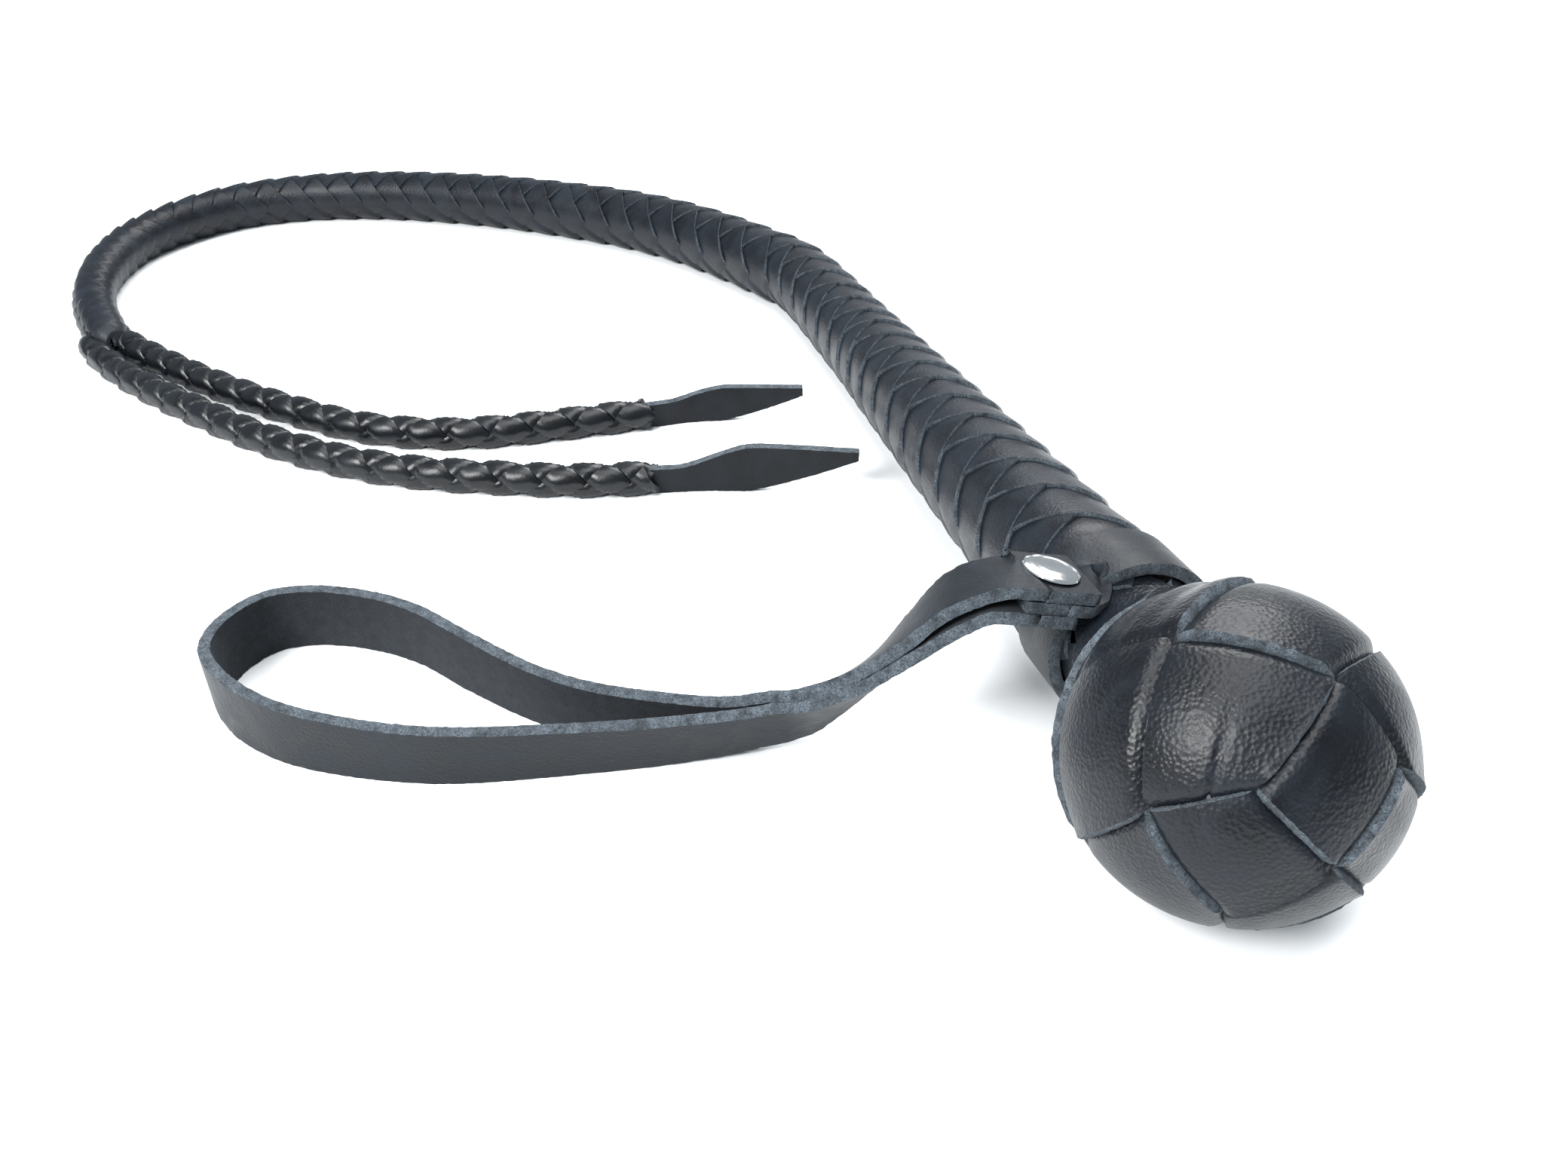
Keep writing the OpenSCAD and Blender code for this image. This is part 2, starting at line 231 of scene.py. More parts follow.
def dark_grained_wood(name, dark, light, grain_mm):
    """Turned beech or rattan, dark: fine long grain. The beech's near black is painted shade, the
    dark inside the ball seen through the weave's gaps.
    """
    material, tree, shader, place = start_material(name, {"Roughness": 0.6})
    turn = node(tree, "ShaderNodeMapping", {}, {"Scale": (0.12, 1, 1)}, [("Vector", place)])
    grain = node(tree, "ShaderNodeTexNoise", {}, {"Scale": 1 / (grain_mm * MM), "Detail": 3.0},
                 [("Vector", turn.outputs["Vector"])])
    dye = node(tree, "ShaderNodeMix", {"data_type": "RGBA"}, {}, [("Factor", grain.outputs["Fac"])])
    dye.inputs[6].default_value = colour(dark)
    dye.inputs[7].default_value = colour(light)
    tree.links.new(dye.outputs[2], shader.inputs["Base Color"])
    return material


def waxed_cord():
    """Waxed linen thread: closely wound turns, 1.2 mm apart."""
    material, tree, shader, place = start_material("waxed_cord", {"Roughness": 0.55})
    turns = node(tree, "ShaderNodeTexWave", {"bands_direction": "X"}, {"Scale": 1 / (3.8 * MM)},
                 [("Vector", place)])
    dye = node(tree, "ShaderNodeMix", {"data_type": "RGBA"}, {}, [("Factor", turns.outputs["Fac"])])
    dye.inputs[6].default_value = colour("#100e0b")
    dye.inputs[7].default_value = colour("#2b2720")
    tree.links.new(dye.outputs[2], shader.inputs["Base Color"])
    lay = node(tree, "ShaderNodeBump", {}, {"Strength": 0.8, "Distance": 0.0003},
               [("Height", turns.outputs["Fac"])])
    tree.links.new(lay.outputs["Normal"], shader.inputs["Normal"])
    return material


def painted_floor():
    """A matt pale board."""
    return start_material("matt_board", {"Base Color": colour("#f4f6f7"), "Roughness": 0.75})[0]


BALL_GRAIN = grained_leather("ball_leather", "#080b10", "#11161d", 0.4, 0.75, 0.9, 0.1)
PLAIT_GRAIN = grained_leather("plait_leather", "#090c12", "#131921", 0.44, 0.7, 0.45, 0.05)
TAIL_GRAIN = grained_leather("waxed_tail_leather", "#06080b", "#0d1116", 0.32, 0.6, 0.2, 0.22)
STRAP_GRAIN = grained_leather("strap_leather", "#0b0f14", "#151b22", 0.5, 0.8, 0.35, 0.03)
POPPER_GRAIN = grained_leather("popper_leather", "#0a0d11", "#12161b", 0.58, 0.7, 0.3, 0.02)
CUT_EDGE = cut_leather("cut_edge", "#0e1216", "#69747e", 0.34)
FINE_CUT_EDGE = cut_leather("fine_cut_edge", "#0c0f13", "#5a656f", 0.25)
FLESH_SIDE = cut_leather("flesh_side", "#0a0d11", "#252b33", 0.4)
# Belly leather painted near black: painted shade for the gaps between the strands, where the cores
# show through. Its own colour would be a paler brown.
BELLY_PAINTED_SHADE = cut_leather("belly_leather", "#0d0b0a", "#1f1a15", 0.5)


# ---------------------------------------------------------------- lines and sections

# How finely each stretch between two points of a line is cut
LINE_PARTS = 14
STRAP_PARTS = 12
# The sides of a strip, which are also its material slots
GRAIN, CUT, FLESH = 0, 1, 2


def smooth_step(x):
    x = min(1.0, max(0.0, x))
    return x * x * (3 - 2 * x)


def lerp(a, b, share):
    return a + (b - a) * share


def spline_point(a, b, c, d, t):
    """A point between b and c on the smooth curve through a, b, c and d."""
    return 0.5 * ((2 * b) + (c - a) * t + (2 * a - 5 * b + 4 * c - d) * t ** 2
                  + (3 * b - a - 3 * c + d) * t ** 3)


def spline(points, parts):
    """A smooth curve through vectors of any size, each stretch cut into equal parts."""
    ends = [2 * points[0] - points[1]] + list(points) + [2 * points[-1] - points[-2]]
    out = []
    for i in range(len(points) - 1):
        out += [spline_point(*ends[i:i + 4], j / parts) for j in range(parts)]
    return out + [points[-1]]


class Line:
    """A smooth line with a radius along it, measured by the distance from its start."""

    def __init__(self, points, radii):
        fine = spline([Vector(point) for point in points], LINE_PARTS)
        self.places = fine
        reach = spline([Vector((r, 0, 0)) for r in radii], LINE_PARTS)
        self.radii = [v.x for v in reach]
        self.marks = [0.0]
        for a, b in zip(fine, fine[1:]):
            self.marks.append(self.marks[-1] + (b - a).length)
        self.length = self.marks[-1]
        self.ways = [(fine[min(i + 2, len(fine) - 1)] - fine[max(i - 2, 0)]).normalized()
                     for i in range(len(fine))]

    def find(self, s):
        low, high = 0, len(self.marks) - 1
        while high - low > 1:
            middle = (low + high) // 2
            if self.marks[middle] <= s:
                low = middle
            else:
                high = middle
        return low, (s - self.marks[low]) / (self.marks[high] - self.marks[low])

    def radius(self, s):
        i, share = self.find(s)
        return lerp(self.radii[i], self.radii[i + 1], min(1, max(0, share)))

    def at(self, s):
        """The middle, the side and up directions and the radius at a distance along the line."""
        i, share = self.find(s)
        place = self.places[i].lerp(self.places[i + 1], share)
        way = self.ways[i].lerp(self.ways[i + 1], min(1, max(0, share))).normalized()
        side = UP.cross(way).normalized()
        return place, side, way.cross(side), lerp(self.radii[i], self.radii[i + 1], share)


def lofted(name, steps, outline, place, materials, face_material):
    """A closed strip: place(u, k) gives each point, u from 0 to 1 along it and k round its outline.
    face_material(k) picks the slot for the faces from outline point k to the next."""
    bm = bmesh.new()
    bmesh.ops.create_grid(bm, x_segments=steps, y_segments=outline, size=1.0)
    for face in bm.faces:
        face.material_index = face_material(int((face.calc_center_median().y + 1) / 2 * outline))
        face.smooth = True
    for vert in bm.verts:
        u = (vert.co.x + 1) / 2
        k = round((vert.co.y + 1) / 2 * outline) % outline
        vert.co = place(u, k)
    bmesh.ops.remove_doubles(bm, verts=bm.verts, dist=1e-7)
    rims = [edge for edge in bm.edges if edge.is_boundary]
    for face in bmesh.ops.holes_fill(bm, edges=rims, sides=0)["faces"]:
        face.material_index = CUT
    bmesh.ops.recalc_face_normals(bm, faces=bm.faces)
    for edge in bm.edges:
        if len({face.material_index for face in edge.link_faces}) > 1:
            edge.smooth = False
    return finish_mesh(name, bm, materials)


def finish_mesh(name, bm, materials):
    mesh = bpy.data.meshes.new(name)
    bm.to_mesh(mesh)
    bm.free()
    for material in materials:
        mesh.materials.append(material)
    piece = bpy.data.objects.new(name, mesh)
    bpy.context.collection.objects.link(piece)
    return piece


def join(name, pieces):
    """One object from several, keeping their materials."""
    bpy.ops.object.select_all(action="DESELECT")
    for piece in pieces:
        piece.select_set(True)
    bpy.context.view_layer.objects.active = pieces[0]
    bpy.ops.object.join()
    pieces[0].name = name
    pieces[0].data.name = name
    return pieces[0]


def at_cut(kinds, k):
    return CUT in (kinds[k], kinds[k - 1])


def strip_outline(across):
    """A cut strip's outline as (share of half width, share of half thickness), and the side of the
    leather that runs from each point to the next."""
    top = [(-1 + 2 * i / across, 1.0) for i in range(across + 1)]
    top[0] = (-0.985, 0.97)
    top[-1] = (0.985, 0.97)
    down = [(1.0, 0.55), (1.0, 0.0), (0.995, -0.55), (0.97, -1.0)]
    back = [(0.5, -1.0), (0.0, -1.0), (-0.5, -1.0)]
    rise = [(-0.97, -1.0), (-0.995, -0.55), (-1.0, 0.0), (-1.0, 0.55)]
    points = top + down + back + rise
    kinds = [GRAIN] * across + [CUT] * len(down) + [FLESH] * (len(back) + 1) + [CUT] * len(rise)
    return points, kinds


# ---------------------------------------------------------------- plaits along a line

class Plait:
    """Strands woven round a line, count each way, every strand one lead a turn. The seams between
    floats stand at fixed angles, seam being the first one."""

    def __init__(self, line, count, lead, seam, thick, shingle, overlap, crown):
        self.line = line
        self.count = count
        self.lead = lead
        self.pitch = 2 * math.pi / count
        self.seam = math.radians(seam)
        self.thick = thick
        self.shingle = shingle
        self.overlap = overlap
        self.crown = crown
        self.turns = [0.0]
        marks = line.marks
        for i in range(len(marks) - 1):
            middle = (line.radii[i] + line.radii[i + 1]) / 2
            self.turns.append(self.turns[-1]
                              + 2 * math.pi * (marks[i + 1] - marks[i]) / lead(middle, marks[i]))

    def turned(self, s):
        i, share = self.line.find(s)
        return lerp(self.turns[i], self.turns[i + 1], share)

    def slope(self, s):
        i = self.line.find(s)[0]
        rate = (self.turns[i + 1] - self.turns[i]) / (self.line.marks[i + 1] - self.line.marks[i])
        return math.atan(rate * max(1.0, self.line.radius(s) - self.thick))

    def over(self, i, j):
        """Whether strand i of the first way lies over strand j of the second: two and two on the
        eight-strand plait, one and one on the four-strand plait."""
        return (i + j) % 4 in (0, 1) if self.count == 4 else (i + j) % 2 == 0

    def level(self, way, number, s, angle):
        """How high a strand lies at a point, from -1 under to 1 over the strand it crosses."""
        offset = angle - self.seam - (self.pitch / 2 if way > 0 else 0)
        spot = (offset + way * self.turned(s)) / self.pitch
        near = math.floor(spot + 0.5)
        part = spot - near

        def lift(other):
            high = self.over(number, other) if way > 0 else not self.over(other, number)
            return 1.0 if high else -1.0

        here = lift(near)
        beyond = lift(near + (1 if part > 0 else -1))
        return lerp(here, beyond, 0.5 * smooth_step((abs(part) - 0.34) / 0.16))

    def point(self, way, number, s, across, rise):
        line = self.line
        turn = self.turned(s)
        lean = self.slope(s)
        base = self.seam + number * self.pitch + (0 if way > 0 else self.pitch / 2)
        round_r = line.radius(s) - self.thick
        along = s - across * math.sin(lean)
        angle = base + way * (turn + across * math.cos(lean) / round_r)
        level = self.level(way, number, along, angle)
        place, side, up, radius = line.at(along)
        tilt = self.shingle * across / self.half_width(s)
        reach = radius - self.thick + level * self.thick / 2 + tilt + rise
        return place + reach * (math.cos(angle) * side + math.sin(angle) * up)

    def half_width(self, s):
        round_r = self.line.radius(s) - self.thick
        return math.pi * round_r / self.count * math.cos(self.slope(s)) * self.overlap

    def strand(self, name, way, number, first, last, step, across, materials):
        points, kinds = strip_outline(across)
        lean = self.slope((first + last) / 2)
        steps = int((last - first) / math.cos(lean) / step)

        def place(u, k):
            s = lerp(first, last, u)
            v, h = points[k]
            half = self.half_width(s)
            crown = self.crown * (1 - v * v) if h > 0 else 0.0
            spot = self.point(way, number, s, v * half, h * self.thick / 2 + crown)
            if at_cut(kinds, k):
                seed = spot * 1.7
                fuzz = noise.noise(seed) * 0.14
                spot = spot + fuzz * Vector((noise.noise(seed + UP), noise.noise(seed - UP), 1))
            return spot * MM

        return lofted(name, steps, len(points), place, materials, lambda k: kinds[k])

    def piece(self, name, first, last, step, across, materials):
        made = [self.strand(f"{name}_{way}_{number}", way, number, first, last, step, across,
                            materials)
                for way in (1, -1) for number in range(self.count)]
        return join(name, made)


# ---------------------------------------------------------------- the ball's woven straps

def ball_surface(s, turn, rise):
    """A point at distance s from the pole over the ball and down the neck, in the handle's axes."""
    to_flare = BALL_R * (math.pi / 2 + FLARE_TURN)
    spoke = math.cos(turn) * TOP + math.sin(turn) * LEFT
    if s <= to_flare:
        angle = s / BALL_R
        out = -math.cos(angle) * ALONG + math.sin(angle) * spoke
        return BALL_AT + (BALL_R + rise) * out
    angle = FLARE_TURN - (s - to_flare) / FLARE_R
    if angle > 0:
        out = math.sin(angle) * ALONG + math.cos(angle) * spoke
        middle = BALL_AT + FLARE_X * ALONG + (NECK_R + FLARE_R) * spoke
        return middle + (rise - FLARE_R) * out
    x = FLARE_X - angle * FLARE_R
    return BALL_AT + x * ALONG + (NECK_R + rise) * spoke


# Where the straps' edges cross, ring by ring: distance from the pole, and how far round an opposing
# strap has come there, for the halves that run clockwise and for those that run the other way
RINGS = [19, 30.5, 47, 60, 71, 81, 90]
CLOCKWISE = [45, 82.5, 121, 165, 210, 255, 300]
OTHER_WAY = [45, 97.5, 149, 200, 250, 300, 345]
BALL_LAYER = 2.0
# How far the direction turns for each millimetre down the neck
NECK_SHARE = 0.0168
# Rows between two crossings of a ball strap
BALL_ROWS = 30
# The strap with the pinched crease, and where along it that is
CREASED_STRAP = 132
CREASED_QUAD = 1
# The angle where each strap passes the pole
BALL_STRAPS = [132, -48, 42, -138]
# Over (1) or under (0) at each crossing going out: a plain weave, then folds into the neck
OVER_CLOCKWISE = "0101111"
OVER_OTHER_WAY = "1010000"
NECK_TURN = BALL_R * (math.pi / 2 + FLARE_TURN)


def unrolled(s, turn):
    """A direction that stands for a place on the ball and neck, so straight cuts stay straight."""
    angle = s / BALL_R if s < NECK_TURN else NECK_TURN / BALL_R + (s - NECK_TURN) * NECK_SHARE
    return Vector((-math.cos(angle), math.sin(angle) * math.cos(turn),
                   math.sin(angle) * math.sin(turn)))


def rolled(spot):
    spot = spot.normalized()
    angle = math.acos(max(-1, min(1, -spot.x)))
    s = angle * BALL_R
    if s > NECK_TURN:
        s = NECK_TURN + (angle - NECK_TURN / BALL_R) / NECK_SHARE
    return s, math.atan2(spot.z, spot.y)


def ball_strap(name, nearest, across):
    """One strap over the pole and down to the neck both ways. Its edges run straight from crossing
    to crossing, and the edge that faces the pole stands up."""
    def corner(way, ring, inner):
        if ring < 0:
            return unrolled(0.4, math.radians(nearest))
        spread = CLOCKWISE[ring] if way < 0 else OTHER_WAY[ring]
        swing = 90 * ring + (135 if inner else 45) - spread
        return unrolled(RINGS[ring], math.radians(nearest + way * swing))

    ends = []
    for way in (-1, 1):
        half = []
        for n in range(6):
            half.append((way, n, corner(way, n - 1, True), corner(way, n, True),
                         corner(way, n, False), corner(way, n + 1, False)))
        ends.append(half)
    quads = [(w, n, i2, i1, o2, o1) for w, n, i1, i2, o1, o2 in reversed(ends[0])] + ends[1]
    points, kinds = strip_outline(across)
    steps = BALL_ROWS * len(quads)

    def lift(way, n):
        marks = OVER_CLOCKWISE if way < 0 else OVER_OTHER_WAY
        return 1.0 if marks[n] == "1" else -1.0

    def level(q, share):
        """A strap starts down just before the edge it goes under, and is flat soon after it."""
        way, n = quads[q][:2]
        here = lift(way, n)
        after = share > 0.5
        side = min(max(q + (1 if after else -1), 0), len(quads) - 1)
        other = lift(*quads[side][:2])
        gap = 1 - share if after else share
        shift = 0.03 if here > 0 else -0.03
        if other == here:
            return here
        return lerp(here, other, 1 - smooth_step(0.5 + (gap - shift) / 0.2))

    def place(u, k):
        at = u * len(quads)
        q = min(int(at), len(quads) - 1)
        share = at - q
        way, n, in1, in2, out1, out2 = quads[q]
        v, h = points[k]
        inner = in1.lerp(in2, share)
        outer = out1.lerp(out2, share)
        from_inner = (1 - v) / 2
        width = max(6.0, (inner.normalized() - outer.normalized()).length * BALL_R)
        bevel = (1 - h) / 2 * (1.3 * max(0.0, 1 - from_inner * 4)
                               - 0.4 * max(0.0, 1 - (1 - from_inner) * 4))
        s, turn = rolled(inner.lerp(outer, from_inner - bevel / width))
        flat = 1 - smooth_step((s - 70) / 10)
        proud = (0.75 * math.exp(-from_inner * width / 2.6)
                 - 0.25 * math.exp(-(1 - from_inner) * width / 2.5))
        rise = level(q, share) * BALL_LAYER / 2 - BALL_LAYER + proud * flat + h * BALL_LAYER / 2
        if h > 0 and n > 2:
            rise += (0.3 * math.sin(from_inner * 19 + nearest) * smooth_step((s - 45) / 12) * flat
                     - 0.15)
        if h > 0 and nearest == CREASED_STRAP and way < 0 and n == CREASED_QUAD:
            sag = (0.42 + 0.13 * (1 - share) - from_inner) * width
            rise -= 0.95 * max(0.0, 1 - (1 - share) / 0.7) * math.exp(-(sag / 0.4) ** 2)
        spot = ball_surface(s, turn, rise)
        if at_cut(kinds, k):
            seed = spot * 1.6
            spot = spot + 0.2 * Vector((noise.noise(seed), noise.noise(seed + UP),
                                        noise.noise(seed - UP)))
        return spot * MM

    return lofted(name, steps, len(points), place, [BALL_GRAIN, CUT_EDGE, FLESH_SIDE],
                  lambda k: kinds[k])


def weave_ball():
    straps = [ball_strap(f"ball_strap_{i + 1}", nearest, 30 if i == 0 else 18)
              for i, nearest in enumerate(BALL_STRAPS)]
    cover = join("ball_weave", straps)
    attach(cover, "handle")
    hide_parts("ball_cover")


# ---------------------------------------------------------------- handle, thong and tails

def on_handle(x, up=0.0):
    return BALL_AT + x * ALONG + up * TOP


def whip_line():
    """The middle of the handle and then of the thong, down to the fork."""
    handle = [36, 44, 49, 52.5, 60, 80, 100, 120, 140, 160, 180, 202]
    slim = (THONG_R - HANDLE_R) / (DOME_X - STEP_X - 3)
    places, radii = [], []
    for x in handle:
        places.append(on_handle(x))
        radii.append(NECK_R if x < STEP_X + 1 else HANDLE_R + slim * (x - STEP_X - 3))
    for i, (x, y) in list(enumerate(THONG_WAY))[1:]:
        r = THONG_R + (FORK_R - THONG_R) * i / (len(THONG_WAY) - 1)
        places.append(Vector((END_X + x, y, r)))
        radii.append(r)
    places.append(places[-1] + Vector((-8, -3, -0.8)))
    radii.append(3.2)
    return Line(places, radii)


def plait_lead(radius, mark):
    """The strands' lead grows from 3.65 to 4.73 radii past the handle's end."""
    share = smooth_step((mark - 150) / 60)
    return radius * lerp(3.65, 4.73, share)


def mark_near(line, place):
    """The distance along a line of its nearest point to a place."""
    best = min(range(len(line.places)), key=lambda i: (line.places[i] - place).length)
    return line.marks[best]


def weave_whip():
    line = whip_line()
    plait = Plait(line, 4, plait_lead, seam=-28.0, thick=1.5, shingle=0.62, overlap=1.2, crown=0.15)
    cuts = [mark_near(line, Vector((END_X + THONG_WAY[i][0], THONG_WAY[i][1], 10)))
            for i in (0, 6, 12)]
    first = cuts[0] - 10
    skins = [PLAIT_GRAIN, CUT_EDGE, FLESH_SIDE]
    handle = plait.piece("handle_strands", 2.0, first, 1.1, 6, skins)
    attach(handle, "handle")
    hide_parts("handle_plait")
    spans = [(first, cuts[1] - 12), (cuts[1] - 12, cuts[2] - 12), (cuts[2] - 12, line.length - 2)]
    for k, (start, stop) in enumerate(spans):
        cord = plait.piece(f"thong_strands_{k + 1}", start, stop, 1.2, 6, skins)
        hinge = cuts[k]
        reach = 12 if k else 10
        line.at(hinge - reach + 1)[0] * MM
        line.at(hinge + reach + 1)[0] * MM
        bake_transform(cord)
        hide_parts(f"thong_plait_{k + 1}")
        path = [line.at(lerp(start, stop, i / 40))[0] * MM for i in range(41)]
        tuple(path[0])
        2 * line.radius((start + stop) / 2) * MM


# How far along a tail's strand goes once round
TAIL_LEAD = 23.0


def tail_line(way):
    return Line([Vector((END_X + x, y, TAIL_R)) for x, y in way], [TAIL_R] * len(way))


def weave_tail(letter, way):
    line = tail_line(way)
    plait = Plait(line, 2, lambda radius, mark: TAIL_LEAD, seam=20.0, thick=1.5, shingle=0.3,
                  overlap=1.06, crown=0.75)
    tail = plait.piece(f"tail_strands_{letter}", 0.0, line.length, 0.8, 5,
                       [TAIL_GRAIN, FINE_CUT_EDGE, FLESH_SIDE])
    line.at(1)[0] * MM
    line.at(20)[0] * MM
    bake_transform(tail)
    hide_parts(f"tail_plait_{letter}")
    path = [line.at(line.length * i / 40)[0] * MM for i in range(41)]
    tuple(path[0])


# ---------------------------------------------------------------- wrist strap and rivet

TAB_SLOPE = math.radians(14)
COLLAR_FROM = FLARE_X + 1.6
COLLAR_R = NECK_R + 0.4 + STRAP_T
RIVET = (COLLAR_FROM + STRAP_W / 10, COLLAR_R * 1.08, COLLAR_R * 0.81)
RIVET_AT = on_handle(RIVET[0], RIVET[2]) + RIVET[1] * LEFT
RIVET_ALONG = math.cos(TAB_SLOPE) * LEFT + math.sin(TAB_SLOPE) * TOP
RIVET_UP = ALONG.cross(RIVET_ALONG)
STACK = STRAP_T + 0.1
# The doubled strap from the rivet to where it opens: step in x and y, height as a share of the
# rivet's, roll from flat to on edge, and how far each layer is from the middle
LEAD_WAY = [(3.8, 15, 0.924, 8, 0.8), (5.8, 23, 0.665, 19, 0.55), (8, 31.5, 0.37, 36, 0.5),
            (10, 40, 0.175, 52, 0.5), (11.8, 47, 0.075, 64, 0.5)]
LOOP_WAY = [(15.2, 56), (18.5, 66), (25, 79.5), (31, 89), (38, 96.5), (49, 106),
            (58.5, 113.5), (65, 120.5), (70.5, 129.5), (73.5, 138), (73.5, 146), (69, 152.5),
            (62, 156.5), (54, 156.5), (42, 149.5), (31, 136.5), (20.5, 113), (15, 83), (12, 62)]
# How far the loop leans from upright near its ends
LOOP_LEAN = {0: 21, 1: 15, 2: 10, 3: 6, 4: 3, 15: 3, 16: 8, 17: 15, 18: 21}
LOOP_LIFT = {0: 0.9, 1: 0.3, 17: -0.2, 18: 0.7}


def strap_face(way, roll):
    """The way a strap's outer face looks, from flat at 0 to on edge at 90."""
    flat = UP.cross(way).normalized()
    up = way.cross(flat)
    return way.cross(math.cos(roll) * flat + math.sin(roll) * up)


def strap_stations():
    """Middle and outward face of the strap: down the upper layer, round and up the lower."""
    half = STRAP_W / 2
    flat_to = STRAP_W * 0.45 + 0.6
    middle = [RIVET_AT + flat_to * RIVET_ALONG]
    middle += [Vector((RIVET_AT.x + x, RIVET_AT.y + y, half + z * (RIVET_AT.z - half)))
               for x, y, z, roll, spread in LEAD_WAY]
    upper = [(RIVET_AT + d * RIVET_ALONG + STACK * RIVET_UP, RIVET_UP)
             for d in (-7.0, -3.5, 0, 4, flat_to)]
    lower = [(RIVET_AT + d * RIVET_ALONG - STACK * RIVET_UP, -RIVET_UP)
             for d in (-4.0, 0, 4, flat_to)]
    for i, (x, y, z, roll, spread) in enumerate(LEAD_WAY):
        way = (middle[min(i + 2, len(LEAD_WAY))] - middle[i]).normalized()
        if i == len(LEAD_WAY) - 1:
            way.z = 0
            way.normalize()
        face = strap_face(way, math.radians(roll))
        upper.append((middle[i + 1] + spread * STACK * face, face))
        lower.append((middle[i + 1] - spread * STACK * face, -face))
    loop = []
    for i, (x, y) in enumerate(LOOP_WAY):
        before, after = LOOP_WAY[max(i - 1, 0)], LOOP_WAY[min(i + 1, len(LOOP_WAY) - 1)]
        way = Vector((after[0] - before[0], after[1] - before[1], 0)).normalized()
        lean = math.radians(LOOP_LEAN.get(i, 0)) * (1 if i < 9 else -1)
        face = math.cos(lean) * way.cross(UP) + math.sin(lean) * UP
        high = half + LOOP_LIFT.get(i, -0.03 * LOOP_LEAN.get(i, 0))
        loop.append((Vector((RIVET_AT.x + x, RIVET_AT.y + y, high)), face))
    return upper + loop + lower[::-1]


def strip_along(name, stations, step, across, half_w, half_t, materials, ragged=0.16):
    """A strap with cut edges through stations of middle and outward face."""
    line = spline([place for place, face in stations], STRAP_PARTS)
    faces = [face.normalized() for face in spline([face for place, face in stations], STRAP_PARTS)]
    marks = [0.0]
    for a, b in zip(line, line[1:]):
        marks.append(marks[-1] + (b - a).length)
    steps = int(marks[-1] / step)
    points, kinds = strip_outline(across)
    count = len(line)
    spots = []
    at = 0
    for j in range(steps + 1):
        goal = marks[-1] * j / steps
        while at < count - 2 and marks[at + 1] < goal:
            at += 1
        share = (goal - marks[at]) / (marks[at + 1] - marks[at])
        middle = line[at].lerp(line[at + 1], share)
        face = faces[at].lerp(faces[at + 1], share).normalized()
        way = (line[min(at + 2, count - 1)] - line[max(at - 1, 0)]).normalized()
        side = face.cross(way).normalized()
        spots.append((middle, side.cross(way) * -1, side))

    def place(u, k):
        middle, face, side = spots[round(u * steps)]
        v, h = points[k]
        spot = middle + v * half_w * side + h * half_t * face
        if at_cut(kinds, k):
            seed = spot * 1.5
            spot = spot + ragged * (noise.noise(seed) * side + noise.noise(seed + UP) * face)
        return spot * MM

    return lofted(name, steps, len(points), place, materials, lambda k: kinds[k])


def sew_strap():
    skins = [STRAP_GRAIN, CUT_EDGE, FLESH_SIDE]
    strap = strip_along("wrist_strap_strip", strap_stations(), 0.9, 8, STRAP_W / 2, STRAP_T / 2,
                        skins)
    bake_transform(strap)
    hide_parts("strap_lead_upper", "strap_lead_lower", "strap_loop")


def wrap_collar():
    """The band round the neck, and its tab that runs out between the strap's two layers."""
    skins = [STRAP_GRAIN, CUT_EDGE, FLESH_SIDE]
    ring_r = COLLAR_R - STRAP_T / 2
    middle_x = COLLAR_FROM + (STRAP_W - 1) / 2
    stations = [(RIVET_AT + d * RIVET_ALONG, RIVET_UP) for d in (6.75, 2.5, -2, -5.5)]
    for turn in (54, *range(72, 400, 12), 402):
        spoke = math.cos(math.radians(turn)) * LEFT + math.sin(math.radians(turn)) * TOP
        reach = ring_r + (0.9 if turn == 54 else 0)
        stations.append((on_handle(middle_x) + reach * spoke, spoke))
    collar = strip_along("collar_strap", stations, 0.9, 8, STRAP_W / 2 - 0.3, STRAP_T / 2, skins,
                         0.12)
    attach(collar, "wrist_strap")
    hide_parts("strap_collar")


# ---------------------------------------------------------------- poppers

LEAF_T = 2.4
LEAF_TIP = 2.4
# How far a leaf's root reaches back inside the tail's end
LEAF_ROOT = 9.0


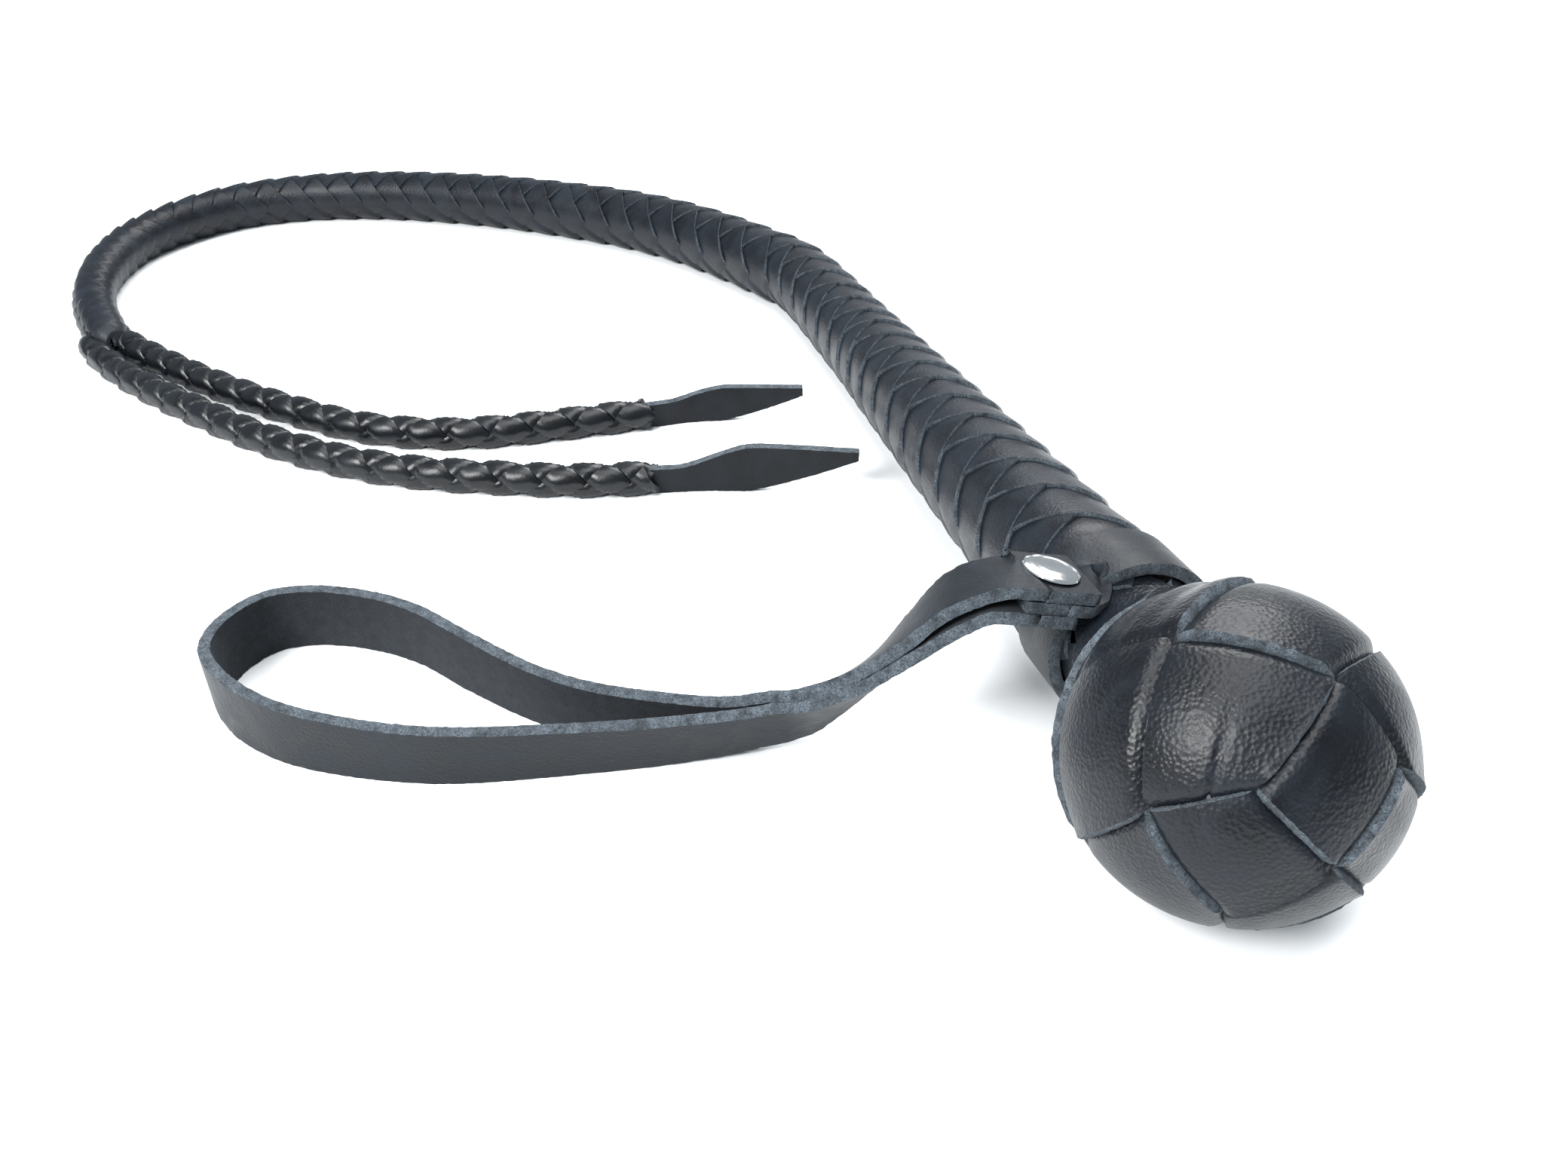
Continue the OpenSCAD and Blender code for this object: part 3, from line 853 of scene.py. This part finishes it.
def popper(letter, way, turn, length, height):
    """A leaf on edge: its belly lies on the floor, its tip is held up, and it leans back."""
    points, kinds = strip_outline(10)
    end = Vector((END_X + way[-1][0], way[-1][1], 0))
    heading = (end - Vector((END_X + way[-2][0], way[-2][1], 0))).normalized()
    root = end + (TAIL_R + 0.4 + 0.8 * LEAF_T) * heading
    run = Vector((math.cos(math.radians(turn)), math.sin(math.radians(turn)), 0))
    bent = (heading + run).normalized()
    line = Line([root - LEAF_ROOT * heading, root - 4 * heading, root + 2 * heading,
                 root + 10 * bent, root + 4 * bent + (length - 14) * run,
                 root + 4 * bent + (length - 3.8) * run],
                [1.0] * 6)

    def place(u, k):
        v, h = points[k]
        along = u * line.length - LEAF_ROOT
        middle, side = line.at(u * line.length)[:2]
        share = max(0.0, along / length)
        low = 0.0 if share < 0.38 else (height - LEAF_TIP) * ((share - 0.38) / 0.62) ** 1.3
        low += 1.4 * (1 - smooth_step((along + LEAF_ROOT) / 6))
        high = lerp(TAIL_R * 1.8, height, smooth_step(share * 2.2))
        curl = 1.0 * math.sin(share * 2.6)
        z = lerp(low, high, (v + 1) / 2)
        lean = 0.14 * (z - low) * smooth_step((along + 2) / 12)
        spot = middle + (h * LEAF_T / 2 + lean + curl) * side
        spot.z = z
        if at_cut(kinds, k) or u > 0.995:
            seed = spot * 1.4
            spot = spot + 0.2 * Vector((noise.noise(seed), noise.noise(seed + UP),
                                        0.6 * abs(noise.noise(seed - UP))))
        return spot * MM

    leaf = lofted(f"popper_leaf_{letter}", 70, len(points), place,
                  [POPPER_GRAIN, CUT_EDGE, POPPER_GRAIN], lambda k: kinds[k])
    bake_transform(leaf)
    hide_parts(f"popper_{letter}")


# ---------------------------------------------------------------- the CAD nodes that stay

def dress(name, material):
    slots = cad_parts[name].data.materials
    slots.clear()
    slots.append(material)


def dress_cad_nodes():
    nickel = polished_nickel()
    for name in ("rivet_cap", "rivet_post"):
        dress(name, nickel)
    # The beech of the ball core and its pin is near black: painted shade for the inside of the
    # ball.
    beech = dark_grained_wood("beech_painted_shade", "#0a0807", "#17110d", 0.8)
    rattan = dark_grained_wood("stained_rattan", "#1b1510", "#33271a", 0.5)
    dress("ball_core", beech)
    dress("rod_pin", beech)
    dress("core_rod", rattan)
    dress("neck_binding", waxed_cord())
    # The bolster and the thong cores wear the belly leather, which carries painted shade.
    for name in ("handle_bolster", "thong_core_1", "thong_core_2", "thong_core_3"):
        dress(name, BELLY_PAINTED_SHADE)


def lay_floor():
    bm = bmesh.new()
    bmesh.ops.create_grid(bm, x_segments=2, y_segments=2, size=3.0)
    floor = finish_mesh("floor", bm, [painted_floor()])


set_camera()
light_the_room()
weave_whip()
weave_tail("a", TAIL_A_WAY)
weave_tail("b", TAIL_B_WAY)
weave_ball()
sew_strap()
wrap_collar()
popper("a", TAIL_A_WAY, 259, 38.4, 10.0)
popper("b", TAIL_B_WAY, 253, 48.0, 12.5)
dress_cad_nodes()
lay_floor()
